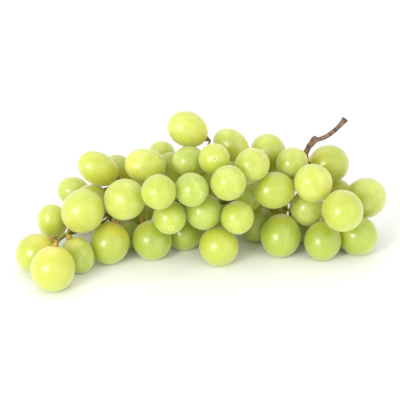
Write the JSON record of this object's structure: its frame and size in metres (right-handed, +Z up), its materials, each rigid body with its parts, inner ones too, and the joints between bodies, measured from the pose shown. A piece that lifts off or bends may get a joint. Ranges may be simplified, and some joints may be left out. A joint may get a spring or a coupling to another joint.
{
  "type": "bunch of white grapes",
  "caption": "Bunch of pale green table grapes lying on its side: oval berries on a branched woody stem, with the bare cut stalk rising at the shoulder end.",
  "frame": {"origin": "middle of the bunch's box, on the surface that it lies on", "axes": "+X along the bunch from its tip to its shoulder and cut stalk, +Y towards the hidden back of the bunch, +Z up"},
  "size_m": [0.197, 0.1042, 0.0724],
  "materials": {
    "grape_skin": "pale yellow-green translucent grape skin with a thin waxy bloom, softly glossy",
    "grape_stem": "woody brown grape stem, turning green-brown on the stalks that carry the berries"
  },
  "bodies": {
    "root": {"berry_01": "grape_skin", "berry_02": "grape_skin", "berry_03": "grape_skin", "berry_04": "grape_skin", "berry_05": "grape_skin", "berry_06": "grape_skin", "berry_07": "grape_skin", "berry_08": "grape_skin", "berry_09": "grape_skin", "berry_10": "grape_skin", "berry_11": "grape_skin", "berry_12": "grape_skin", "berry_13": "grape_skin", "berry_14": "grape_skin", "berry_15": "grape_skin", "berry_16": "grape_skin", "berry_17": "grape_skin", "berry_18": "grape_skin", "berry_19": "grape_skin", "berry_20": "grape_skin", "berry_21": "grape_skin", "berry_22": "grape_skin", "berry_23": "grape_skin", "berry_24": "grape_skin", "berry_25": "grape_skin", "berry_26": "grape_skin", "berry_27": "grape_skin", "berry_28": "grape_skin", "berry_29": "grape_skin", "berry_30": "grape_skin", "berry_31": "grape_skin", "berry_32": "grape_skin", "berry_33": "grape_skin", "berry_34": "grape_skin", "berry_35": "grape_skin", "berry_36": "grape_skin", "berry_37": "grape_skin", "berry_38": "grape_skin", "berry_39": "grape_skin", "berry_40": "grape_skin", "berry_41": "grape_skin", "berry_42": "grape_skin", "berry_43": "grape_skin", "berry_44": "grape_skin", "berry_45": "grape_skin", "berry_46": "grape_skin", "berry_47": "grape_skin", "berry_48": "grape_skin", "berry_49": "grape_skin", "berry_50": "grape_skin", "berry_51": "grape_skin", "berry_52": "grape_skin", "berry_53": "grape_skin", "berry_54": "grape_skin", "berry_55": "grape_skin", "berry_56": "grape_skin", "berry_57": "grape_skin", "berry_58": "grape_skin", "berry_59": "grape_skin", "stem": "grape_stem"}
  },
  "joints": []
}
